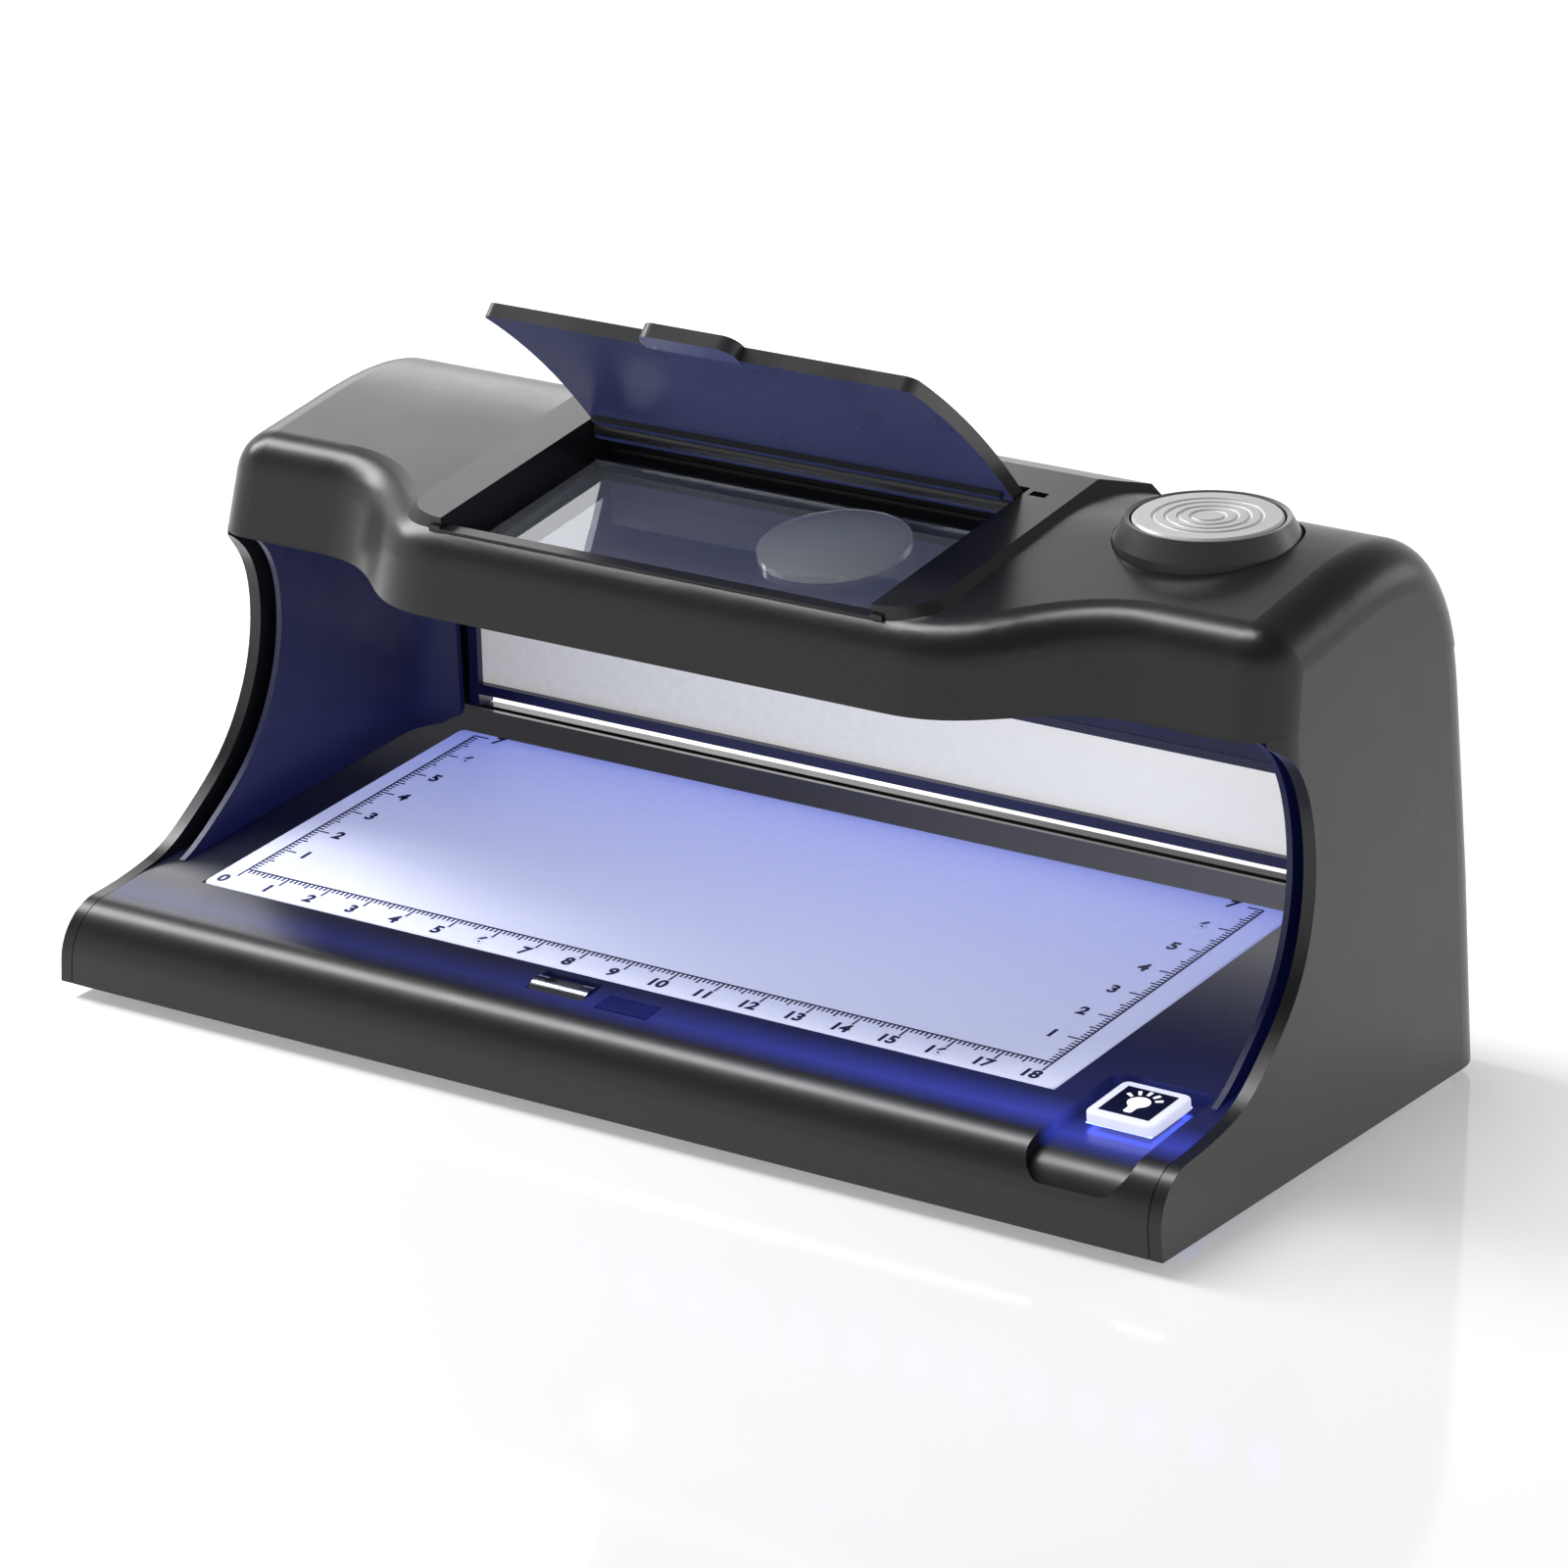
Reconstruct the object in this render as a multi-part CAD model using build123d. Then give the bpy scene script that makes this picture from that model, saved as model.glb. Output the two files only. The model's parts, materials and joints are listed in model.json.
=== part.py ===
from build123d import *
import math
import os

# Table-top banknote tester: a hood on two side walls stands over a sloping
# lit deck. All dimensions are in millimetres. While building, y = 0 is the
# front bottom edge and z = 0 the underside of the case; place() moves each
# finished piece so that the origin is the bottom centre of the feet.

# overall
WIDTH = 243.0
DEPTH = 112.0
FOOT_HEIGHT = 2.2
WALL = 2.5
SIDE_DRAFT = 0.0667
CORNER_RADIUS = 9.0

# hood
HOOD_BOTTOM = 77.0
FASCIA_LEAN = 0.25
FASCIA_END_Y = 43.0
FASCIA_MID_Y = 24.4
CEILING_Z = 77.6

# lens window, in a frame that slopes with the hood top
WINDOW_X = -4.0
WINDOW_Y = 56.5
WINDOW_Z = 97.6
WINDOW_TILT = 8.1
WINDOW_HALF = 47.0
WINDOW_FRONT = -24.0
WINDOW_REAR = 25.2
RAIL_WIDTH = 9.4

# lid
LID_OPEN_ANGLE = 50.4
LID_HALF = 46.5
LID_LENGTH = 45.8
LID_THICKNESS = 2.8
LID_ARCH = 1.6
HINGE_V = 22.3
HINGE_W = -2.4
BARREL_RADIUS = 2.2
PIN_RADIUS = 1.2

# deck
DECK_TILT = 4.2
DECK_FRONT_Y = 22.0
DECK_FRONT_Z = 15.9
LIP_Y = 107.0
LIP_Z = 25.0
TABLE_X = -9.5
TABLE_Y = 62.0
TABLE_WIDTH = 190.0
TABLE_DEPTH = 80.0
TABLE_THICKNESS = 3.0

# controls
RING_X = 81.0
RING_Y = 80.0
RING_Z = 98.6
LIGHT_X = 102.0
LIGHT_Y = 23.3

# rear window
REAR_HALF = 106.0
REAR_BOTTOM = 25.0
REAR_TOP = 48.0

DECK_SLOPE = math.tan(math.radians(DECK_TILT))


def deck_z(y):
    return DECK_FRONT_Z + (y - DECK_FRONT_Y) * DECK_SLOPE


def place(shape):
    return Pos(0, -DEPTH / 2, FOOT_HEIGHT) * shape


def block(x0, x1, y0, y1, z0, z1):
    centre = Pos((x0 + x1) / 2, (y0 + y1) / 2, (z0 + z1) / 2)
    return centre * Box(x1 - x0, y1 - y0, z1 - z0)


def rod(x, y, z0, z1, radius):
    return Pos(x, y, (z0 + z1) / 2) * Cylinder(radius, z1 - z0)


def rod_x(x0, x1, y, z, radius):
    return Pos((x0 + x1) / 2, y, z) * Rot(0, 90, 0) * Cylinder(radius, x1 - x0)


def rod_y(x, y0, y1, z, radius):
    return Pos(x, (y0 + y1) / 2, z) * Rot(90, 0, 0) * Cylinder(radius, y1 - y0)


def side_prism(face, half=130.0):
    return extrude(Plane.YZ * face, amount=half, both=True)


def window_frame():
    return Pos(WINDOW_X, WINDOW_Y, WINDOW_Z) * Rot(WINDOW_TILT, 0, 0)


def table_frame():
    return Pos(TABLE_X, TABLE_Y, deck_z(TABLE_Y)) * Rot(DECK_TILT, 0, 0)


def light_frame():
    return Pos(LIGHT_X, LIGHT_Y, deck_z(LIGHT_Y)) * Rot(DECK_TILT, 0, 0)


def hinge_point():
    tilt = math.radians(WINDOW_TILT)
    y = WINDOW_Y + HINGE_V * math.cos(tilt) - HINGE_W * math.sin(tilt)
    z = WINDOW_Z + HINGE_V * math.sin(tilt) + HINGE_W * math.cos(tilt)
    return y, z


def between_sides(inset):
    """Block as wide as the case, less inset on each side; the sides lean in."""
    low = -20.0
    high = 130.0
    half_low = WIDTH / 2 - SIDE_DRAFT * low - inset
    half_high = WIDTH / 2 - SIDE_DRAFT * high - inset
    corners = [(-half_low, low), (half_low, low), (half_high, high), (-half_high, high)]
    face = make_face(Polyline(*corners, close=True))
    front = Plane(origin=(0, -30, 0), x_dir=(1, 0, 0), z_dir=(0, -1, 0))
    return extrude(front * face, amount=-170)


def shifted(points, distance):
    """Points of an outline moved inwards, to the right of the way it runs."""
    moved = []
    last = len(points) - 1
    for i, (a, b) in enumerate(points):
        before = points[max(i - 1, 0)]
        after = points[min(i + 1, last)]
        da = after[0] - before[0]
        db = after[1] - before[1]
        length = math.hypot(da, db)
        moved.append((a + distance * db / length, b - distance * da / length))
    return moved


ROOF_LINE = [(18, 89.9), (45, 94.3), (67.5, 97.8), (88, 99.8), (100, 97.0), (109.1, 86), (112, 67)]
REAR_LINE = [(112, 67), (111.6, 34), (110, 0), (109.5, -12)]


def roof_face(inset=0.0):
    """Side view of everything under the hood top and before the rear wall."""
    line = shifted(ROOF_LINE, inset)
    rear = [(y - inset, z) for y, z in REAR_LINE]
    line[-1] = rear[0]
    top = Spline(*line, tangents=[(1, 0.16), (0, -1)])
    front = (-30, line[0][1] - 7.6)
    rest = Polyline(*rear, (-30, -12), front, line[0])
    return make_face([top, rest])


THROAT_LINE = [
    (24, 16.6), (36.7, 23.2), (46.1, 31.3), (52.8, 42.3),
    (55.5, 56), (53.5, 67.6), (43, HOOD_BOTTOM + 0.5),
]


def throat_face(inset):
    """Everything behind the throat line of the side walls, moved back by inset."""
    line = shifted(THROAT_LINE, inset)
    curve = Spline(*line, tangents=[(1, 0.22), (-1, 0.45)])
    rest = Polyline(line[-1], (125, line[-1][1]), (125, -12), (line[0][0], -12), line[0])
    return make_face([curve, rest])


def side_face():
    """Side wall below the hood: front roll, low sill, swept throat, rear edge."""
    rise = Line((0, 0), (0, 4.3))
    roll = ThreePointArc((0, 4.3), (2.9, 11.5), (10, 14.6))
    sill = ThreePointArc((10, 14.6), (17, 15.3), (24, 16.6))
    throat = Spline(*THROAT_LINE, tangents=[(1, 0.22), (-1, 0.45)])
    rest = Polyline((43, HOOD_BOTTOM + 0.5), (125, HOOD_BOTTOM + 0.5), (125, 0), (0, 0))
    return make_face([rise, roll, sill, throat, rest])


def hood_plan(inset, height):
    """Plan of the hood at a height: the fascia bulges forward in the middle."""
    shift = FASCIA_LEAN * (height - HOOD_BOTTOM) + inset
    end_y = FASCIA_END_Y + shift
    mid_y = FASCIA_MID_Y + shift
    outer = 90.0 - 0.3 * inset
    inner = 50.0 - 0.3 * inset
    left = Line((-130, end_y), (-outer, end_y))
    left_sweep = Spline((-outer, end_y), (-inner, mid_y), tangents=[(1.6, 0), (1.6, 0)])
    middle = Line((-inner, mid_y), (inner, mid_y))
    right_sweep = Spline((inner, mid_y), (outer, end_y), tangents=[(1.6, 0), (1.6, 0)])
    right = Line((outer, end_y), (130, end_y))
    back = Polyline((130, end_y), (130, 150), (-130, 150), (-130, end_y))
    face = make_face([left, left_sweep, middle, right_sweep, right, back])
    return Pos(0, 0, height) * face


def hood_column(inset, low, high):
    return loft([hood_plan(inset, low), hood_plan(inset, high)], ruled=True)


def softened(solid, edges, radius):
    """Fillet as large as the solid accepts, from radius downwards."""
    for part in (1.0, 0.85, 0.7, 0.5, 0.35):
        try:
            result = fillet(edges, radius * part)
            if result.is_valid and result.volume > 0.5 * solid.volume:
                return result
        except Exception:
            continue
    return solid


def hood_solid(inset, low):
    roof = roof_face(inset)
    solid = hood_column(inset, low, 112) & side_prism(roof) & between_sides(inset)
    rounded = [e for e in solid.edges() if e.center().Z > low + 0.5]
    return softened(solid, rounded, CORNER_RADIUS - inset)


def lower_solid(inset, low, high, front_face):
    roof = roof_face(inset)
    solid = side_prism(front_face) & side_prism(roof) & between_sides(inset)
    solid = solid & block(-130, 130, -30, 140, low, high)
    upright = [e for e in solid.edges() if e.center().Y > 104 and abs(e.center().X) > 100
               and abs(e.tangent_at(0.5).Z) > 0.9]
    return softened(solid, upright, CORNER_RADIUS - inset + 0.5)


def rear_rounded(solid, radius):
    edges = [e for e in solid.edges() if e.center().Y > 100 and abs(e.center().X) > 100
             and abs(e.tangent_at(0.5).Z) > 0.9]
    return softened(solid, edges, radius)


def rounded_column(low, high):
    """Column between the sides whose front corners are rounded like the hood's."""
    column = between_sides(0) & block(-130, 130, FASCIA_END_Y, 150, low, high)
    edges = [e for e in column.edges() if e.center().Y < FASCIA_END_Y + 1 and abs(e.tangent_at(0.5).Z) > 0.9]
    return softened(column, edges, CORNER_RADIUS)


def rail_block():
    """Raised frame that carries the lens window, wider at its foot."""
    half = WINDOW_HALF + RAIL_WIDTH
    side = make_face(Polyline((-25.8, -9), (-25.8, 0), (33, 0), (43, -4.5), (43, -9), close=True))
    bar = extrude(Plane.YZ * side, amount=half + 9, both=True)
    wedge = make_face(Polyline((-half - 9, -9), (half + 9, -9), (half, 0), (-half, 0), close=True))
    section = extrude(Plane(origin=(0, -60, 0), x_dir=(1, 0, 0), z_dir=(0, -1, 0)) * wedge, amount=-120)
    hump = bar & section
    corners = [e for e in hump.edges() if e.center().Y < -25 and abs(e.center().X) > half - 1]
    hump = softened(hump, corners, 7.0)
    return window_frame() * hump


def window_cut(low):
    cut = block(-WINDOW_HALF, WINDOW_HALF, WINDOW_FRONT, WINDOW_REAR, low, 20)
    return window_frame() * cut


def upper_case():
    sides = lower_solid(0, 0, HOOD_BOTTOM + 0.5, side_face())
    sides = sides & (block(-140, 140, -20, 140, -5, 62) + rounded_column(61, 80))
    outer = sides + hood_solid(0, HOOD_BOTTOM)
    outer = outer + rail_block()
    void_face = make_face(Polyline((-30, -15), (125, -15), (125, 79), (-30, 79), close=True))
    shell = outer - lower_solid(WALL + 0.06, -12, 77.2, void_face)
    shell = shell - hood_solid(WALL, 76)

    # skirt round the lens window
    skirt = block(-WINDOW_HALF - WALL, WINDOW_HALF + WALL,
                  WINDOW_FRONT - WALL, WINDOW_REAR + WALL, -11.5, -1.5)
    shell = shell + window_frame() * skirt
    shell = shell - window_cut(-20)
    # the front rim lies at hood level between the rails
    shell = shell - window_frame() * block(-WINDOW_HALF, WINDOW_HALF, -32, WINDOW_FRONT + 1, -2.0, 12)

    # blind holes for the lid pins
    hinge_y, hinge_z = hinge_point()
    shell = shell - rod_x(WINDOW_X - LID_HALF - 2.2, WINDOW_X + LID_HALF + 2.2, hinge_y, hinge_z, PIN_RADIUS + 0.06)
    # latch slot behind the right end of the hinge
    shell = shell - window_frame() * block(48.2, 51.6, 22.5, 24.3, -1.2, 5)

    # seat and hole for the ring button
    shell = shell - rod(RING_X, RING_Y, RING_Z - 3.0, RING_Z + 12, 17.0)
    seat = rod(RING_X, RING_Y, RING_Z - 5.4, RING_Z - 3.0, 18.4)
    shell = shell + (seat - rod(RING_X, RING_Y, 80, 110, 15.2))
    shell = shell - rod(RING_X, RING_Y, 85, 110, 15.2)

    # rear window and power inlet
    shell = shell - block(-REAR_HALF, REAR_HALF, 100, 120, REAR_BOTTOM, REAR_TOP)
    shell = shell - rod_y(100, 100, 120, 11.5, 4.1)
    return shell


def base_face():
    rise = Line((0, 0), (0, 4.3))
    roll = ThreePointArc((0, 4.3), (2.9, 11.5), (10, 14.6))
    sill = Spline((10, 14.6), (16, 15.25), (DECK_FRONT_Y, DECK_FRONT_Z), tangents=[(1, 0.12), (1, DECK_SLOPE)])
    deck = Line((DECK_FRONT_Y, DECK_FRONT_Z), (102.5, deck_z(102.5)))
    ramp = Polyline((102.5, deck_z(102.5)), (106, LIP_Z), (LIP_Y, LIP_Z), (LIP_Y, 0), (0, 0))
    return make_face([rise, roll, sill, deck, ramp])


def base_core_face():
    rise = Line((WALL, -5), (WALL, 4.6))
    roll = ThreePointArc((WALL, 4.6), (4.8, 10.0), (10.3, 12.1))
    under = Polyline(
        (10.3, 12.1),
        (DECK_FRONT_Y, DECK_FRONT_Z - WALL),
        (103.0, deck_z(103.0) - WALL),
        (LIP_Y - WALL, deck_z(103.0) - WALL),
        (LIP_Y - WALL, -5),
        (WALL, -5),
    )
    return make_face([rise, roll, under])


def scoop_floor():
    """Everything under the floor of the finger pocket, side view."""
    end_z = deck_z(16.5) - 2.6
    floor = Spline((0.3, 5.4), (2.6, 8.3), (5.0, 10.4), (10.4, 12.35), (16.5, end_z),
                   tangents=[(0.6, 1), (1, DECK_SLOPE)])
    rest = Polyline((16.5, end_z), (16.5, -5), (0.3, -5), (0.3, 5.4))
    return make_face([floor, rest])


POSTS = [(-112, 12), (-112, 96), (112, 45), (112, 78)]


def base_case():
    outer = rear_rounded(side_prism(base_face()) & between_sides(WALL + 0.25), 8.0)
    core = rear_rounded(side_prism(base_core_face()) & between_sides(2 * WALL + 0.25), 6.0)
    shell = outer - core

    # ledge and opening for the light table
    ledge = block(-TABLE_WIDTH / 2 - 2.8, TABLE_WIDTH / 2 + 2.8,
                  -TABLE_DEPTH / 2 - 2.8, TABLE_DEPTH / 2 + 2.0, -5.0, -1.0)
    shell = shell + table_frame() * ledge
    shell = shell - table_frame() * block(-TABLE_WIDTH / 2 - 0.2, TABLE_WIDTH / 2 + 0.2,
                                          -TABLE_DEPTH / 2 - 0.2, TABLE_DEPTH / 2 + 0.2, -3.0, 10)
    shell = shell - table_frame() * block(-TABLE_WIDTH / 2 + 3, TABLE_WIDTH / 2 - 3,
                                          -TABLE_DEPTH / 2 + 3, TABLE_DEPTH / 2 - 3, -12, 10)

    # finger pocket of the light button: a well under the button and a shallow
    # scoop that follows the front roll, closed by a rounded end
    well = light_frame() * block(-12.5, 12.5, -14, 11.4, -5.5, -0.5)
    backing = block(LIGHT_X - 12.0, LIGHT_X + 11.5, 0.2, 16, 2.4, 15)
    shell = shell + ((well + backing) & outer)
    pocket = block(-10.5, 10.5, -9, 9.4, -2.6, 8)
    pocket_corners = pocket.edges().filter_by(Axis.Z).sort_by(Axis.Y)[-2:]
    pocket = fillet(pocket_corners, 2.5)
    scoop = block(LIGHT_X - 10.5, LIGHT_X + 10.5, 0.9, 16, 0, 25)
    scoop = fillet(scoop.edges().filter_by(Axis.Z).sort_by(Axis.Y)[:2], 4.5)
    scoop = scoop - side_prism(scoop_floor())
    shell = shell - light_frame() * pocket
    shell = shell - scoop
    shell = shell - light_frame() * rod(0, 0, -12, 0, 2.4)

    # openings for the magnetic head and the sensor window
    shell = shell - block(-22.4, -9.6, 13.4, 20.6, 5, 20)
    shell = shell - block(-6.3, 5.3, 12.4, 17.6, 5, 20)

    # screw posts
    for x, y in POSTS:
        shell = shell + (rod(x, y, 2.1, deck_z(y) - 1.0, 3.4) & outer)
        shell = shell - rod(x, y, -1, 11, 1.25)

    # power inlet and cable hole
    shell = shell - rod_y(100, 100, 120, 11.5, 4.1)
    return shell - rod(112, 104.4, 13, 40, 2.6)


def bottom_cover():
    plate = block(-115.4, 115.4, 2.8, 104.2, 0, 2.0)
    plate = fillet(plate.edges().filter_by(Axis.Z).sort_by(Axis.Y)[2:], 6.0)
    plate = fillet(plate.edges().filter_by(Axis.Z).sort_by(Axis.Y)[:2], 2.0)
    for x, y in POSTS:
        plate = plate - rod(x, y, -1, 3, 1.6)
        plate = plate - rod(x, y, -1, 1.1, 3.1)
    for i in range(9):
        plate = plate - block(-36 + 9 * i - 1.2, -36 + 9 * i + 1.2, 46, 66, -1, 3)
    return plate


def bay_liner():
    inset = WALL + 3.0
    outer = between_sides(inset) & block(-130, 130, 10, 106.3, 10, 77.3)
    uprights = [e for e in outer.edges() if e.center().Y > 100 and abs(e.tangent_at(0.5).Z) > 0.9]
    outer = fillet(uprights, 12.0)
    inner = between_sides(inset + 1.2) & block(-130, 130, -10, 105.1, 5, 90)
    uprights = [e for e in inner.edges() if e.center().Y > 100 and abs(e.tangent_at(0.5).Z) > 0.9]
    inner = fillet(uprights, 10.8)
    liner = outer - inner
    liner = liner & side_prism(throat_face(1.2))
    under = make_face(Polyline((-5, -10), (-5, 14.1), (102.3, deck_z(102.3) + 0.15), (106, LIP_Z + 0.2),
                               (112, LIP_Z + 0.2), (112, -10), close=True))
    liner = liner - side_prism(under)
    return liner - block(-REAR_HALF - 0.5, REAR_HALF + 0.5, 100, 110, 20, REAR_TOP + 0.5)


def bay_ceiling():
    plan = hood_plan(WALL + 0.8, CEILING_Z)
    plate = extrude(plan, amount=1.6) & block(-113.0, 113.0, 0, 107.0, CEILING_Z, CEILING_Z + 1.6)
    rear = [e for e in plate.edges() if abs(e.tangent_at(0.5).Z) > 0.9 and e.center().Y > 100]
    plate = fillet(rear, 7.0)
    front = [e for e in plate.edges() if abs(e.tangent_at(0.5).Z) > 0.9 and e.center().Y < 60
             and abs(e.center().X) > 110]
    plate = fillet(front, 7.5)
    # collar round the view through the lens, up to the lens frame
    collar = block(WINDOW_X - 44.6, WINDOW_X + 44.6, 34.0, 78.5, CEILING_Z + 1.0, 95)
    collar = collar & (window_frame() * block(-60, 60, -40, 40, -40, -13.4))
    plate = plate + collar
    plate = plate - block(WINDOW_X - 43, WINDOW_X + 43, 35.5, 77, 70, 100)
    plate = plate - block(-43, 43, 28.4, 31.2, 70, 90)
    plate = plate - block(-92, 92, 89.0, 94.0, 70, 90)
    return plate - rod(108.4, 104.0, 70, 90, 2.4)


def rear_window_frame():
    frame = block(-REAR_HALF + 0.2, REAR_HALF - 0.2, 106.5, 111.0, REAR_BOTTOM + 0.25, REAR_TOP - 0.2)
    slot = block(-REAR_HALF + 2.4, REAR_HALF - 2.4, 100, 120, 20, REAR_BOTTOM + 2.9)
    light = block(-REAR_HALF + 2.4, REAR_HALF - 2.4, 100, 120, REAR_BOTTOM + 5.0, REAR_TOP - 2.0)
    frame = frame - slot - light
    groove = block(-REAR_HALF + 1.6, REAR_HALF - 1.6, 108.0, 109.4, REAR_BOTTOM + 4.3, REAR_TOP - 1.3)
    return frame - groove


def rear_reflector():
    return block(-REAR_HALF + 1.7, REAR_HALF - 1.7, 108.1, 109.3, REAR_BOTTOM + 4.4, REAR_TOP - 1.4)


def light_table():
    plate = block(-TABLE_WIDTH / 2, TABLE_WIDTH / 2, -TABLE_DEPTH / 2, TABLE_DEPTH / 2, -TABLE_THICKNESS, 0.2)
    plate = fillet(plate.edges().filter_by(Axis.Z), 1.5)
    plate = chamfer(plate.faces().sort_by(Axis.Z)[-1].edges(), 0.3)
    return table_frame() * plate


def light_guide():
    panel = block(-91, 91, -36.5, 36.5, -8.2, -5.2)
    return table_frame() * panel


def backlight_board():
    board = block(-90, 90, -35, 35, -12.0, -10.8)
    for x in (-86, 86):
        for y in (-31, 31):
            board = board - rod(x, y, -13, -10, 1.3)
    return table_frame() * board


def backlight_leds():
    leds = []
    for i in range(8):
        for j in range(3):
            leds.append(block(-78.5 + 22 * i, -75.0 + 22 * i, -26 + 24 * j, -22.5 + 24 * j, -10.8, -9.8))
    return [table_frame() * led for led in leds]


def uv_board_front():
    return block(-42, 42, 28.4, 31.6, 80.5, 81.9)


def uv_board_rear():
    return block(-95, 95, 87.5, 96.5, 80.5, 81.9)


def uv_leds():
    leds = []
    for i in range(8):
        x = -38.5 + 11 * i
        leds.append(block(x - 1.5, x + 1.5, 28.6, 31.2, 79.3, 80.5))
    for i in range(14):
        x = -84.5 + 13 * i
        leds.append(block(x - 2.0, x + 2.0, 90.0, 93.5, 79.3, 80.5))
    return leds


def lens_frame():
    ring = block(-WINDOW_HALF - WALL, WINDOW_HALF + WALL, WINDOW_FRONT - 1.5, WINDOW_REAR + WALL, -13.2, -11.6)
    ring = ring - block(-43.5, 43.5, -20.5, 16.5, -20, 0)
    bar = block(-WINDOW_HALF + 0.3, WINDOW_HALF - 0.3, 20.0, WINDOW_REAR - 0.3, -11.6, -7.6)
    return window_frame() * (ring + bar)


def main_lens():
    lens = block(-46.6, 46.6, -23.6, 19.6, -11.5, -6.5)
    lens = chamfer(lens.faces().sort_by(Axis.Z)[-1].edges(), 2.4)
    return window_frame() * lens


def loupe_lens():
    rim = Pos(20, 1.5, -5.8) * Cylinder(14.0, 1.3)
    dome_radius = 60.0
    dome = Pos(20, 1.5, -3.55 - dome_radius) * Sphere(dome_radius)
    body = Pos(20, 1.5, -4.9) * Cylinder(14.0, 3.1)
    return window_frame() * ((body & dome) + rim)


def lid_closed():
    """Lid in the window frame: a shallow arch that grows out of the hinge barrel."""
    front = HINGE_V - LID_LENGTH
    top = HINGE_W + BARREL_RADIUS
    outer = ThreePointArc((HINGE_V, top), ((HINGE_V + front) / 2, top + LID_ARCH), (front, top - 0.2))
    inner = ThreePointArc((front, top - 0.2 - LID_THICKNESS),
                          ((HINGE_V + front) / 2, top + LID_ARCH - LID_THICKNESS),
                          (HINGE_V, top - LID_THICKNESS))
    ends = [Line((front, top - 0.2), (front, top - 0.2 - LID_THICKNESS)),
            Line((HINGE_V, top - LID_THICKNESS), (HINGE_V, top))]
    panel = extrude(Plane.YZ * make_face([outer, inner] + ends), amount=LID_HALF, both=True)
    corners = [e for e in panel.edges() if e.center().Y < front + 1 and abs(e.center().X) > LID_HALF - 1]
    panel = softened(panel, corners, 2.0)
    barrel = rod_x(-LID_HALF, LID_HALF, HINGE_V, HINGE_W, BARREL_RADIUS)
    rib = block(-LID_HALF + 1.5, LID_HALF - 1.5, HINGE_V - 5.4, HINGE_V - 4.0, top - LID_THICKNESS - 0.6, top - 1.2)
    tab = block(-10.5, 10.5, front - 3.6, front + 1.5, top - 0.2 - LID_THICKNESS, top - 0.2)
    tab = fillet(tab.edges().filter_by(Axis.Z).sort_by(Axis.Y)[:2], 3.0)
    bore = rod_x(-LID_HALF - 1, LID_HALF + 1, HINGE_V, HINGE_W, PIN_RADIUS)
    keep = rod_x(-LID_HALF + 8, LID_HALF - 8, HINGE_V, HINGE_W, PIN_RADIUS)
    return panel + barrel + rib + tab - (bore - keep)


def open_lid(shape):
    """Turn a piece of the closed lid about the hinge to its open position."""
    turned = Pos(0, HINGE_V, HINGE_W) * Rot(-LID_OPEN_ANGLE, 0, 0) * Pos(0, -HINGE_V, -HINGE_W) * shape
    return window_frame() * turned


def lid():
    return open_lid(lid_closed())


def lid_pins():
    left = rod_x(-LID_HALF - 1.9, -LID_HALF + 8, HINGE_V, HINGE_W, PIN_RADIUS)
    right = rod_x(LID_HALF - 8, LID_HALF + 1.9, HINGE_V, HINGE_W, PIN_RADIUS)
    return [open_lid(left), open_lid(right)]


def ring_bezel():
    outline = Polyline(
        (13.8, 3.9), (14.7, 4.1), (16.8, 0.3), (16.8, -3.0), (15.0, -3.0), (15.0, -7.5),
        (3.4, -7.5), (3.4, -6.0), (13.8, -6.0), close=True)
    body = revolve(Plane.XZ * make_face(outline), Axis.Z, 360)
    return Pos(RING_X, RING_Y, RING_Z) * body


def ring_cap():
    rings = [3.0, 5.2, 7.4, 9.6]
    body = rod(0, 0, 0.8, 4.2, 13.4) + rod(0, 0, -10.0, 0.8, 3.0)
    body = chamfer(body.faces().sort_by(Axis.Z)[-1].edges(), 0.4)
    for radius in rings:
        groove = Pos(0, 0, 4.35) * Torus(radius, 0.5)
        body = body - groove
    return Pos(RING_X, RING_Y, RING_Z) * body


def switch_at(size, height, bore, depth):
    return block(-size / 2, size / 2, -size / 2, size / 2, -height, 0) - rod(0, 0, -depth, 1, bore)


def ring_switch():
    return Pos(RING_X, RING_Y, RING_Z - 11.3) * switch_at(6.2, 2.8, 1.8, 2.3)


def ring_plunger():
    return rod(RING_X, RING_Y, RING_Z - 12.0, RING_Z - 10.0, 1.73)


def top_board():
    board = block(RING_X - 17, RING_X + 17, RING_Y - 14, RING_Y + 14, RING_Z - 15.7, RING_Z - 14.1)
    return board - rod(RING_X - 13.5, RING_Y - 10.5, 70, 100, 1.3) - rod(RING_X + 13.5, RING_Y + 10.5, 70, 100, 1.3)


def light_cap():
    cap = block(-7, 7, -6.8, 6.8, -1.6, 0.5)
    cap = fillet(cap.edges().filter_by(Axis.Z), 1.6)
    cap = fillet(cap.faces().sort_by(Axis.Z)[-1].edges(), 0.5)
    cap = cap - block(-5.2, 5.2, -5.0, 5.0, 0.1, 2)
    return light_frame() * (cap + rod(0, 0, -7.0, -1.6, 2.0))


def light_icon_panel():
    return light_frame() * block(-5.1, 5.1, -4.9, 4.9, 0.1, 0.55)


def light_switch():
    return light_frame() * Pos(0, 0, -8.0) * switch_at(6.0, 2.6, 1.3, 2.2)


def light_plunger():
    return light_frame() * rod(0, 0, -8.9, -7.0, 1.23)


def front_board():
    board = block(-11, 9, -6, 14, -12.0, -10.6)
    return light_frame() * (board - rod(-8, 11, -14, -9, 1.2))


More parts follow.
